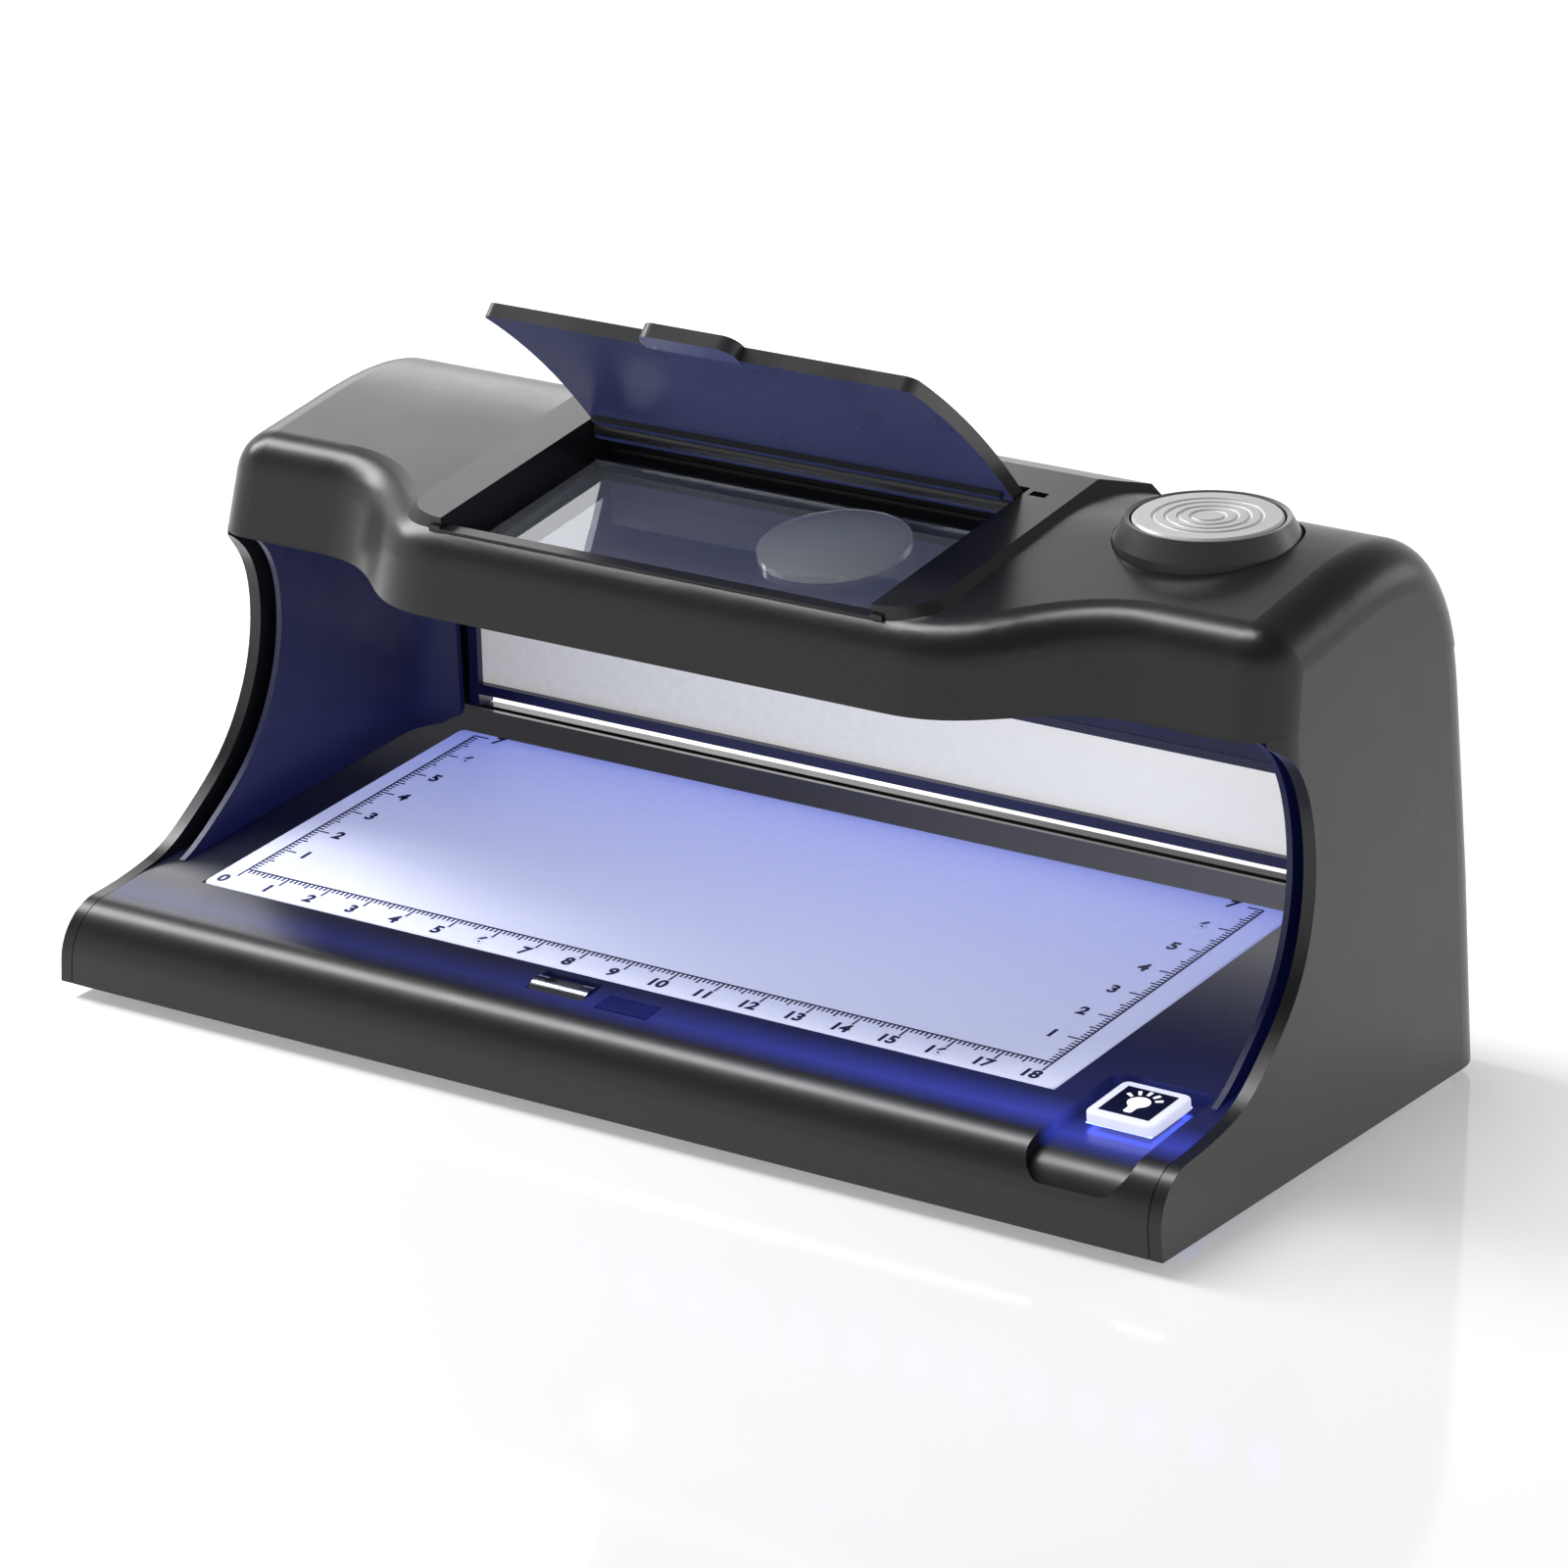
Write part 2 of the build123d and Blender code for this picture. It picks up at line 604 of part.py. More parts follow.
def main_board():
    board = block(-95, 36, 88.5, 105.0, 85.0, 86.6)
    for x in (-91, 32):
        board = board - rod(x, 91.5, 80, 90, 1.5)
    return board


def board_parts():
    parts = [block(-80, -64, 90, 100, 86.6, 91.4), block(-14, -4, 92, 100, 86.6, 88.2)]
    for x in (-56, -47, -38):
        parts.append(rod(x, 96.5, 86.6, 91.6, 3.1))
    parts.append(block(18, 28, 90, 97, 86.6, 90.6))
    return parts


def buzzer():
    return rod(-26, 96.5, 86.6, 91.6, 5.0) - rod(-26, 96.5, 91.0, 92, 1.0)


def magnetic_head():
    y = 17.0
    top = deck_z(y) + 0.5
    nose = rod_x(-22.2, -9.8, y, top - 3.4, 3.4)
    body = block(-22.2, -9.8, y - 3.4, y + 3.4, top - 10.5, top - 3.4)
    window = block(-19.8, -12.2, y - 1.0, y + 1.0, top - 0.7, top + 2)
    return nose + body - window


def head_bracket():
    y = 17.0
    low = deck_z(y) - 10.0
    plate = block(-28, -4, y - 4.6, y + 4.6, low - 1.2, low)
    return plate - rod(-25.5, y, 0, 20, 1.1) - rod(-6.5, y, 0, 20, 1.1)


def sensor_window():
    body = Pos(0, 0, deck_z(15) - 1.1) * Rot(DECK_TILT, 0, 0) * block(-6.2, 5.2, -2.4, 2.4, -0.9, 0.9)
    return Pos(0, 15, 0) * body


def sensor_board():
    return block(-6, 5, 12, 19, 7.0, 8.4)


def dc_inlet():
    body = block(95.4, 104.6, 93.5, 104.4, 7.0, 16.0) + rod_y(100, 104.4, 110.4, 11.5, 3.9)
    return body - rod_y(100, 99.5, 112, 11.5, 2.8)


def dc_inlet_pin():
    return rod_y(100, 99.5, 108.6, 11.5, 0.95)


def feet():
    pads = []
    for x in (-100, 100):
        for y in (14, 96):
            pad = rod(x, y, -FOOT_HEIGHT, 0, 6.0)
            pads.append(chamfer(pad.faces().sort_by(Axis.Z)[0].edges(), 0.5))
    return pads


def case_screws():
    screws = []
    for x, y in POSTS:
        head = rod(x, y, 0.1, 1.1, 2.9)
        slot = block(x - 1.8, x + 1.8, y - 0.3, y + 0.3, 0, 0.6)
        cross = block(x - 0.3, x + 0.3, y - 1.8, y + 1.8, 0, 0.6)
        screws.append(head - slot - cross + rod(x, y, 1.1, 10, 1.15))
    return screws


def wiring():
    """Power lead from the inlet up the rear corner to the main board."""
    path = Spline(
        (105.9, 97.4, 12.2), (109.4, 100.3, 14.0), (111.6, 103.2, 19), (112.6, 104.6, 27), (112.3, 105.0, 42),
        (110.8, 105.2, 60), (109.4, 104.8, 70), (108.4, 104.0, 78), (105.5, 101.4, 82.6), (92, 99.4, 84.0),
        (60, 99.2, 84.4), (38.0, 97, 85.8),
    )
    start = Plane(origin=path @ 0, z_dir=path % 0)
    lead = sweep(start * Circle(1.2), path)
    return [lead]


def save(name, shape):
    solids = shape if isinstance(shape, list) else [shape]
    placed = []
    for item in solids:
        for solid in item.solids():
            placed.append(place(solid))
    export_step(placed[0] if len(placed) == 1 else Compound(children=placed), "parts/" + name + ".step")


def main():
    os.makedirs("parts", exist_ok=True)
    save("upper_case", upper_case())
    save("base_case", base_case())
    save("bottom_cover", bottom_cover())
    save("bay_liner", bay_liner())
    save("bay_ceiling", bay_ceiling())
    save("rear_window_frame", rear_window_frame())
    save("rear_reflector", rear_reflector())
    save("light_table", light_table())
    save("light_guide", light_guide())
    save("backlight_board", backlight_board())
    save("backlight_leds", backlight_leds())
    save("uv_board_front", uv_board_front())
    save("uv_board_rear", uv_board_rear())
    save("uv_leds", uv_leds())
    save("lens_frame", lens_frame())
    save("main_lens", main_lens())
    save("loupe_lens", loupe_lens())
    save("lid", lid())
    save("lid_pins", lid_pins())
    save("ring_bezel", ring_bezel())
    save("ring_cap", ring_cap())
    save("ring_switch", ring_switch())
    save("ring_plunger", ring_plunger())
    save("top_board", top_board())
    save("light_cap", light_cap())
    save("light_icon_panel", light_icon_panel())
    save("light_switch", light_switch())
    save("light_plunger", light_plunger())
    save("front_board", front_board())
    save("main_board", main_board())
    save("board_parts", board_parts())
    save("buzzer", buzzer())
    save("magnetic_head", magnetic_head())
    save("head_bracket", head_bracket())
    save("sensor_window", sensor_window())
    save("sensor_board", sensor_board())
    save("dc_inlet", dc_inlet())
    save("dc_inlet_pin", dc_inlet_pin())
    save("feet", feet())
    save("case_screws", case_screws())
    save("wiring", wiring())


main()
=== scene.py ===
import json
import math

import bpy
from mathutils import Matrix, Vector


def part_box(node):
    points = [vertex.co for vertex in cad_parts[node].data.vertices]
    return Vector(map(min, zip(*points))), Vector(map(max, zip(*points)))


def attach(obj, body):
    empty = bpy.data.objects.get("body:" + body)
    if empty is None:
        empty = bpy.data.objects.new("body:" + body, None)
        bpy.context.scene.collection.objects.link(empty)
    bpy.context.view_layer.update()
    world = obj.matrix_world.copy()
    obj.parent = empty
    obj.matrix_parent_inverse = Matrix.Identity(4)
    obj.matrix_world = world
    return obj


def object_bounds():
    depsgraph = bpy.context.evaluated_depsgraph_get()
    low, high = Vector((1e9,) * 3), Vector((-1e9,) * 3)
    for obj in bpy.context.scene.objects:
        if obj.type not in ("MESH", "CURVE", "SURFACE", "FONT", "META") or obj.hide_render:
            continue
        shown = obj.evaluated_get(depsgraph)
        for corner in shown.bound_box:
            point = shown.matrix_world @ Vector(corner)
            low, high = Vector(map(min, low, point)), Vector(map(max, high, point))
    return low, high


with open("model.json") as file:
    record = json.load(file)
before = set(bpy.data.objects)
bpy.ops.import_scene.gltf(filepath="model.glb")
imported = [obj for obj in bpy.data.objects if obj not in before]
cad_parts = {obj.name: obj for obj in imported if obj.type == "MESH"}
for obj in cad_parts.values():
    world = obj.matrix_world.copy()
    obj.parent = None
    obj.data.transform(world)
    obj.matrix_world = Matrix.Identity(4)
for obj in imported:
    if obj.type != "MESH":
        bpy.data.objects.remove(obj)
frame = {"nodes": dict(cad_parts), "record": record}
cad_low, cad_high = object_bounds()
scene = bpy.context.scene
scene.view_settings.view_transform = "Standard"

# the deck rises towards the back by this angle; the ruler print and the button's sign lie along it
DECK_TILT = math.radians(4.2)

PLASTIC_GRAIN = 2600.0
ACRYLIC_IOR = 1.49


# ---------------------------------------------------------------- materials

def new_material(name):
    made = bpy.data.materials.new(name)
    made.use_nodes = True
    tree = made.node_tree
    tree.nodes.clear()
    out = tree.nodes.new("ShaderNodeOutputMaterial")
    surface = tree.nodes.new("ShaderNodeBsdfPrincipled")
    tree.links.new(surface.outputs["BSDF"], out.inputs["Surface"])
    return made, tree, surface


def object_space(tree):
    return tree.nodes.new("ShaderNodeTexCoord").outputs["Object"]


def noise(tree, vector, scale, detail=3.0, roughness=0.5):
    node = tree.nodes.new("ShaderNodeTexNoise")
    node.inputs["Scale"].default_value = scale
    node.inputs["Detail"].default_value = detail
    node.inputs["Roughness"].default_value = roughness
    tree.links.new(vector, node.inputs["Vector"])
    return node.outputs["Fac"]


def ramp(tree, factor, stops):
    node = tree.nodes.new("ShaderNodeValToRGB")
    band = node.color_ramp
    while len(band.elements) < len(stops):
        band.elements.new(0.5)
    for element, (place, colour) in zip(band.elements, stops):
        element.position = place
        element.color = (*colour[:3], 1.0)
    tree.links.new(factor, node.inputs["Fac"])
    return node.outputs["Color"]


def spread(tree, value, low, high, from_low=0.3, from_high=0.7):
    node = tree.nodes.new("ShaderNodeMapRange")
    node.inputs["From Min"].default_value = from_low
    node.inputs["From Max"].default_value = from_high
    node.inputs["To Min"].default_value = low
    node.inputs["To Max"].default_value = high
    tree.links.new(value, node.inputs["Value"])
    return node.outputs["Result"]


def relief(tree, height, strength, distance, surface):
    node = tree.nodes.new("ShaderNodeBump")
    node.inputs["Strength"].default_value = strength
    node.inputs["Distance"].default_value = distance
    tree.links.new(height, node.inputs["Height"])
    tree.links.new(node.outputs["Normal"], surface.inputs["Normal"])


def part_of(tree, vector, axis):
    node = tree.nodes.new("ShaderNodeSeparateXYZ")
    tree.links.new(vector, node.inputs["Vector"])
    return node.outputs[axis]


def tint_and_roughness(tree, surface, factor, dark, light, smooth, rough):
    """Drives the base colour and the roughness with one noise."""
    tree.links.new(ramp(tree, factor, [(0.3, dark), (0.7, light)]), surface.inputs["Base Color"])
    tree.links.new(spread(tree, factor, smooth, rough), surface.inputs["Roughness"])


def moulded(name, dark, light, rough=(0.27, 0.31), grain=PLASTIC_GRAIN, strength=0.05,
            specular=0.6):
    """Moulded plastic: slow colour drift, cloudy gloss and a fine grain."""
    made, tree, surface = new_material(name)
    space = object_space(tree)
    broad = noise(tree, space, 16.0, 4.0)
    tree.links.new(ramp(tree, broad, [(0.30, dark), (0.72, light)]), surface.inputs["Base Color"])
    cloud = noise(tree, space, 95.0, 5.0, 0.62)
    tree.links.new(spread(tree, cloud, rough[0], rough[1]), surface.inputs["Roughness"])
    relief(tree, noise(tree, space, grain, 2.0), strength, 0.00005, surface)
    surface.inputs["Specular IOR Level"].default_value = specular
    return made


def metal(name, dark, light, rough=(0.22, 0.34)):
    """Metal with a grain drawn out along X."""
    made, tree, surface = new_material(name)
    space = object_space(tree)
    mapping = tree.nodes.new("ShaderNodeMapping")
    mapping.inputs["Scale"].default_value = (40.0, 2500.0, 2500.0)
    tree.links.new(space, mapping.inputs["Vector"])
    streak = noise(tree, mapping.outputs["Vector"], 1.0, 3.0)
    tint_and_roughness(tree, surface, streak, dark, light, *rough)
    surface.inputs["Metallic"].default_value = 1.0
    relief(tree, streak, 0.12, 0.00004, surface)
    return made


def board(name, mask, track):
    """Circuit board: solder mask in blocks between tracks."""
    made, tree, surface = new_material(name)
    space = object_space(tree)
    brick = tree.nodes.new("ShaderNodeTexBrick")
    brick.inputs["Scale"].default_value = 260.0
    brick.inputs["Mortar Size"].default_value = 0.03
    brick.inputs["Color1"].default_value = (*mask, 1)
    brick.inputs["Color2"].default_value = (*[c * 0.82 for c in mask], 1)
    brick.inputs["Mortar"].default_value = (*track, 1)
    tree.links.new(space, brick.inputs["Vector"])
    tree.links.new(brick.outputs["Color"], surface.inputs["Base Color"])
    cloud = noise(tree, space, 300.0, 3.0)
    tree.links.new(spread(tree, cloud, 0.25, 0.4), surface.inputs["Roughness"])
    relief(tree, brick.outputs["Fac"], 0.15, 0.00004, surface)
    return made


def clear(name, tint, rough, through=1.0):
    """Clear acrylic; through is how much of it transmits light."""
    made, tree, surface = new_material(name)
    space = object_space(tree)
    haze = noise(tree, space, 60.0, 3.0)
    paler = [min(1.0, c * 1.04) for c in tint]
    tint_and_roughness(tree, surface, haze, tint, paler, rough, rough + 0.012)
    surface.inputs["Transmission Weight"].default_value = through
    surface.inputs["IOR"].default_value = ACRYLIC_IOR
    relief(tree, noise(tree, space, 30.0, 1.0), 0.02, 0.00005, surface)
    return made


def glowing(name, base, low, high, strength):
    """Lit plastic, its light painted on as emission, or a lamp's face."""
    made, tree, surface = new_material(name)
    space = object_space(tree)
    cloud = noise(tree, space, 220.0, 3.0)
    surface.inputs["Base Color"].default_value = (*base, 1)
    tree.links.new(ramp(tree, cloud, [(0.25, low), (0.75, high)]), surface.inputs["Emission Color"])
    surface.inputs["Emission Strength"].default_value = strength
    tree.links.new(spread(tree, cloud, 0.28, 0.4), surface.inputs["Roughness"])
    relief(tree, cloud, 0.05, 0.00004, surface)
    return made


def diffuser(name):
    """Opal plate lit from below, its glow painted on as emission; bluer towards the back, where the
    blue lamps' light is painted on.
    """
    made, tree, surface = new_material(name)
    space = object_space(tree)
    low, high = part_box("light_table")
    depth = spread(tree, part_of(tree, space, "Y"), 0.0, 1.0, low.y, high.y)
    # painted light: the plate's glow, turning to the painted blue of the lamps towards the back
    tree.links.new(ramp(tree, depth, [(0.0, (0.50, 0.54, 0.76)), (0.5, (0.42, 0.46, 0.78)),
                                      (0.85, (0.27, 0.32, 0.76)), (1.0, (0.14, 0.19, 0.68))]),
                   surface.inputs["Emission Color"])
    surface.inputs["Emission Strength"].default_value = 0.66
    cloud = noise(tree, space, 420.0, 4.0, 0.6)
    tint_and_roughness(tree, surface, cloud, (0.66, 0.68, 0.80), (0.74, 0.76, 0.86), 0.30, 0.42)
    relief(tree, noise(tree, space, 1800.0, 2.0), 0.06, 0.00004, surface)
    return made


def reflector(name):
    """Frosted rear panel; the light on it is painted on as emission, brighter away from its left end.
    """
    made, tree, surface = new_material(name)
    space = object_space(tree)
    low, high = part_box("rear_reflector")
    along = spread(tree, part_of(tree, space, "X"), 0.0, 1.0, low.x, high.x)
    # painted light on the panel, brighter away from its left end
    tree.links.new(ramp(tree, along, [(0.0, (0.37, 0.365, 0.34)), (0.25, (0.53, 0.525, 0.49)),
                                      (0.75, (0.77, 0.765, 0.73)), (1.0, (0.69, 0.685, 0.65))]),
                   surface.inputs["Emission Color"])
    surface.inputs["Emission Strength"].default_value = 0.75
    cloud = noise(tree, space, 500.0, 4.0)
    tint_and_roughness(tree, surface, cloud, (0.42, 0.43, 0.45), (0.50, 0.51, 0.53), 0.4, 0.55)
    relief(tree, noise(tree, space, 2400.0, 2.0), 0.08, 0.00004, surface)
    return made


def lining(name):
    """Deep blue walls of the bay; the glow of the lamps is painted on, most at the foot."""
    made, tree, surface = new_material(name)
    space = object_space(tree)
    low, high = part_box("bay_liner")
    rise = spread(tree, part_of(tree, space, "Z"), 0.0, 1.0, low.z, high.z)
    tree.links.new(ramp(tree, rise, [(0.0, (0.004, 0.006, 0.060)), (0.35, (0.001, 0.002, 0.022)),
                                     (1.0, (0.003, 0.005, 0.040))]),
                   surface.inputs["Emission Color"])
    surface.inputs["Emission Strength"].default_value = 0.35
    broad = noise(tree, space, 22.0, 4.0)
    tree.links.new(ramp(tree, broad, [(0.3, (0.005, 0.007, 0.040)), (0.7, (0.007, 0.010, 0.055))]),
                   surface.inputs["Base Color"])
    cloud = noise(tree, space, 120.0, 4.0)
    tree.links.new(spread(tree, cloud, 0.36, 0.5), surface.inputs["Roughness"])
    relief(tree, noise(tree, space, 2400.0, 2.0), 0.08, 0.00005, surface)
    return made


def deck_finish(name):
    """Satin charcoal base. The lamps' blue on the deck is painted on, most at the crest of the front
    roll and towards the button, and a grey painted reflection of the rear panel lies at the back."""
    made = moulded(name, (0.011, 0.011, 0.012), (0.014, 0.014, 0.015), specular=0.45)
    tree = made.node_tree
    surface = next(n for n in tree.nodes if n.type == "BSDF_PRINCIPLED")
    space = object_space(tree)
    low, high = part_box("base_case")
    back = spread(tree, part_of(tree, space, "Y"), 0.0, 1.0, low.y, high.y)
    # painted light: the lamps' blue near the front and a grey painted reflection of the rear panel at
    # the back
    tree.links.new(ramp(tree, back, [(0.0, (0.0, 0.0, 0.0)), (0.075, (0.0, 0.0, 0.0)),
                                     (0.125, (0.030, 0.045, 0.40)), (0.19, (0.006, 0.009, 0.075)),
                                     (0.45, (0.002, 0.003, 0.030)), (0.70, (0.012, 0.013, 0.030)),
                                     (0.92, (0.100, 0.100, 0.106))]),
                   surface.inputs["Emission Color"])
    tree.links.new(spread(tree, part_of(tree, space, "X"), 0.30, 1.0, -0.03, 0.10),
                   surface.inputs["Emission Strength"])
    return made


def lid_finish(name):
    """Dark semi-gloss plastic; the side that closes on the lens has a painted blue cast."""
    made, tree, surface = new_material(name)
    coordinates = tree.nodes.new("ShaderNodeTexCoord")
    space = coordinates.outputs["Object"]
    facing = part_of(tree, coordinates.outputs["Normal"], "Z")
    side = spread(tree, facing, 0.0, 1.0, -0.55, -0.10)
    # painted light: the inner side's blue, in its colour and as emission
    tree.links.new(ramp(tree, side, [(0.0, (0.026, 0.028, 0.055)), (0.45, (0.016, 0.017, 0.024)),
                                     (1.0, (0.024, 0.024, 0.026))]),
                   surface.inputs["Base Color"])
    tree.links.new(ramp(tree, side, [(0.0, (0.020, 0.026, 0.090)), (0.4, (0.0, 0.0, 0.0)),
                                     (1.0, (0.0, 0.0, 0.0))]),
                   surface.inputs["Emission Color"])
    surface.inputs["Emission Strength"].default_value = 0.6
    cloud = noise(tree, space, 80.0, 4.0)
    tree.links.new(spread(tree, cloud, 0.26, 0.34), surface.inputs["Roughness"])
    relief(tree, noise(tree, space, PLASTIC_GRAIN, 2.0), 0.06, 0.00004, surface)
    return made


def turned(name, centre):
    """Silver-grey cap with fine rings round its axis."""
    made, tree, surface = new_material(name)
    space = object_space(tree)
    mapping = tree.nodes.new("ShaderNodeMapping")
    mapping.inputs["Location"].default_value = (-centre.x, -centre.y, 0.0)
    tree.links.new(space, mapping.inputs["Vector"])
    wave = tree.nodes.new("ShaderNodeTexWave")
    wave.wave_type = "RINGS"
    wave.rings_direction = "Z"
    wave.inputs["Scale"].default_value = 420.0
    wave.inputs["Distortion"].default_value = 0.4
    wave.inputs["Detail"].default_value = 1.0
    tree.links.new(mapping.outputs["Vector"], wave.inputs["Vector"])
    cloud = noise(tree, space, 150.0, 4.0)
    tint_and_roughness(tree, surface, cloud, (0.46, 0.46, 0.465), (0.50, 0.50, 0.505), 0.34, 0.42)
    surface.inputs["Metallic"].default_value = 0.35
    relief(tree, wave.outputs["Fac"], 0.10, 0.00006, surface)
    return made


ring_low, ring_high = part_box("ring_cap")
ring_centre = (ring_low + ring_high) / 2

finishes = {
    "case_shell": moulded("case_shell", (0.011, 0.011, 0.012), (0.014, 0.014, 0.015),
                          specular=0.42),
    "base_shell": deck_finish("base_shell"),
    "cover": moulded("cover", (0.014, 0.014, 0.015), (0.020, 0.020, 0.021), (0.5, 0.62),
                     1500.0, 0.3),
    "liner": lining("liner"),
    "ceiling": moulded("ceiling", (0.080, 0.090, 0.140), (0.100, 0.110, 0.165), (0.5, 0.6)),
    "window_frame": moulded("window_frame", (0.006, 0.008, 0.050), (0.009, 0.011, 0.070)),
    "reflector": reflector("reflector"),
    "diffuser": diffuser("diffuser"),
    "guide": clear("guide", (0.90, 0.92, 0.97), 0.08),
    "board_white": board("board_white", (0.62, 0.64, 0.62), (0.45, 0.47, 0.45)),
    "white_led": glowing("white_led", (0.8, 0.8, 0.7), (0.80, 0.78, 1.0), (0.95, 0.95, 1.0),
                         1.5),
    "board_green": board("board_green", (0.010, 0.070, 0.030), (0.030, 0.130, 0.060)),
    "uv_led": glowing("uv_led", (0.2, 0.2, 0.6), (0.05, 0.07, 1.0), (0.10, 0.13, 1.0), 8.0),
    "lens_frame": moulded("lens_frame", (0.006, 0.006, 0.007), (0.010, 0.010, 0.011), (0.4, 0.5)),
    "lens": clear("lens", (0.86, 0.90, 0.97), 0.004, 0.94),
    "loupe": clear("loupe", (0.93, 0.97, 0.98), 0.003, 0.66),
    "lid": lid_finish("lid"),
    "pin": metal("pin", (0.42, 0.42, 0.43), (0.60, 0.60, 0.61)),
    "bezel": moulded("bezel", (0.032, 0.032, 0.034), (0.042, 0.042, 0.044), (0.30, 0.34)),
    "ring_cap": turned("ring_cap", ring_centre),
    "switch": moulded("switch", (0.012, 0.012, 0.012), (0.018, 0.018, 0.018), (0.3, 0.4)),
    "plunger": moulded("plunger", (0.30, 0.03, 0.02), (0.38, 0.05, 0.03), (0.3, 0.4)),
    # the light button's cap: its brightness is painted on as emission
    "light_cap": glowing("light_cap", (0.55, 0.57, 0.65), (0.70, 0.73, 1.0), (0.82, 0.84, 1.0),
                         0.72),
    "icon_panel": moulded("icon_panel", (0.004, 0.005, 0.022), (0.006, 0.008, 0.032),
                          (0.16, 0.22)),
    "parts": moulded("parts", (0.020, 0.020, 0.022), (0.060, 0.060, 0.062), (0.3, 0.5),
                     900.0, 0.2),
    "head": metal("head", (0.16, 0.17, 0.20), (0.30, 0.31, 0.34), (0.16, 0.26)),
    "bracket": metal("bracket", (0.40, 0.40, 0.40), (0.55, 0.55, 0.55)),
    "sensor_window": moulded("sensor_window", (0.012, 0.016, 0.10), (0.018, 0.024, 0.14),
                             (0.12, 0.2)),
    "foot": moulded("foot", (0.010, 0.010, 0.010), (0.016, 0.016, 0.016), (0.62, 0.75),
                    1300.0, 0.35),
    "screw": metal("screw", (0.10, 0.10, 0.11), (0.18, 0.18, 0.19), (0.3, 0.42)),
    "lead": moulded("lead", (0.010, 0.010, 0.010), (0.015, 0.015, 0.015), (0.45, 0.55)),
}

slot_of = {part["node"]: part["material_slot"] for part in frame["record"]["subparts"]}
for name, node in frame["nodes"].items():
    node.data.materials.clear()
    node.data.materials.append(finishes[slot_of[name]])


# ------------------------------------------------------------ printed ruler

ink, ink_tree, ink_surface = new_material("ink")
ink_space = object_space(ink_tree)
ink_cloud = noise(ink_tree, ink_space, 900.0, 3.0)
tint_and_roughness(ink_tree, ink_surface, ink_cloud, (0.006, 0.008, 0.060), (0.012, 0.014, 0.085),
                   0.35, 0.5)

# places on the plate, from its centre and along its slope: the ruler's zero corner and the
# height at which the print lies on the surface
table_low, table_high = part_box("light_table")
table_centre = (table_low + table_high) / 2
table_width = table_high.x - table_low.x
TABLE_DEPTH = 0.080
on_table = Matrix.Translation(table_centre) @ Matrix.Rotation(DECK_TILT, 4, "X")
PRINT = 0.00162
LEFT = -table_width / 2 + 0.0045
FRONT = -TABLE_DEPTH / 2 + 0.0082
MILLIMETRE = 0.001
CENTIMETRE = 0.01
RULER_WIDTH = 0.18
RULER_DEPTH = 0.07
HALF_LINE = 0.00020
INK_DEPTH = 0.00004
NUMERAL_SIZE = 0.0040


def make_mesh(name, points, faces, material, where, body):
    data = bpy.data.meshes.new(name)
    data.from_pydata([tuple(p) for p in points], [], faces)
    data.update()
    made = bpy.data.objects.new(name, data)
    scene.collection.objects.link(made)
    made.matrix_world = where
    data.materials.append(material)
    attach(made, body)


def add_bar(points, faces, x0, x1, y0, y1, z0, z1):
    first = len(points)
    for z in (z0, z1):
        points.extend([(x0, y0, z), (x1, y0, z), (x1, y1, z), (x0, y1, z)])
    for quad in ((0, 3, 2, 1), (4, 5, 6, 7), (0, 1, 5, 4), (1, 2, 6, 5), (2, 3, 7, 6),
                 (3, 0, 4, 7)):
        faces.append([first + i for i in quad])


def ink_bar(x0, x1, y0, y1):
    add_bar(tick_points, tick_faces, x0, x1, y0, y1, PRINT, PRINT + INK_DEPTH)


def tick_length(step):
    """Longest at the centimetres, middling at the half centimetres."""
    if step % 10 == 0:
        return 0.0034
    if step % 5 == 0:
        return 0.0021
    return 0.0014


tick_points = []
tick_faces = []
right = LEFT + RULER_WIDTH
for step in range(181):
    x = LEFT + MILLIMETRE * step
    ink_bar(x - HALF_LINE, x + HALF_LINE, FRONT - tick_length(step), FRONT)
for step in range(1, 71):
    y = FRONT + MILLIMETRE * step
    reach = tick_length(step)
    ink_bar(LEFT, LEFT + reach, y - HALF_LINE, y + HALF_LINE)
    ink_bar(right - reach, right, y - HALF_LINE, y + HALF_LINE)
ink_bar(LEFT - HALF_LINE, right + HALF_LINE, FRONT - HALF_LINE, FRONT + HALF_LINE)
for x in (LEFT, right):
    ink_bar(x - HALF_LINE, x + HALF_LINE, FRONT, FRONT + RULER_DEPTH)
make_mesh("ruler_ticks", tick_points, tick_faces, ink, on_table, "case")


def numeral(text, x, y, tag):
    """A printed number, centred on x, y."""
    curve = bpy.data.curves.new("numeral", "FONT")
    curve.body = text
    curve.align_x = "CENTER"
    curve.align_y = "CENTER"
    curve.size = NUMERAL_SIZE
    curve.extrude = 0.00002
    curve.offset = 0.00016
    holder = bpy.data.objects.new("numeral", curve)
    scene.collection.objects.link(holder)
    bpy.context.view_layer.update()
    seen = holder.evaluated_get(bpy.context.evaluated_depsgraph_get())
    data = bpy.data.meshes.new_from_object(seen)
    bpy.data.objects.remove(holder)
    data.materials.clear()
    data.materials.append(ink)
    data.name = tag
    made = bpy.data.objects.new(tag, data)
    scene.collection.objects.link(made)
    made.matrix_world = on_table @ Matrix.Translation((x, y, PRINT + 0.00003))
    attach(made, "case")


# the front numbers stand a little left of their ticks, and the zero further still
for step in range(19):
    shift = -0.0018 if step == 0 else -0.0012
    numeral(str(step), LEFT + CENTIMETRE * step + shift, FRONT - 0.0054, f"front_number_{step}")
for step in range(1, 8):
    y = FRONT + CENTIMETRE * step
    numeral(str(step), LEFT + 0.0058, y - 0.0002, f"left_number_{step}")
    numeral(str(step), right - 0.0066, y - 0.0002, f"right_number_{step}")


# ------------------------------------------------------- lamp sign on button

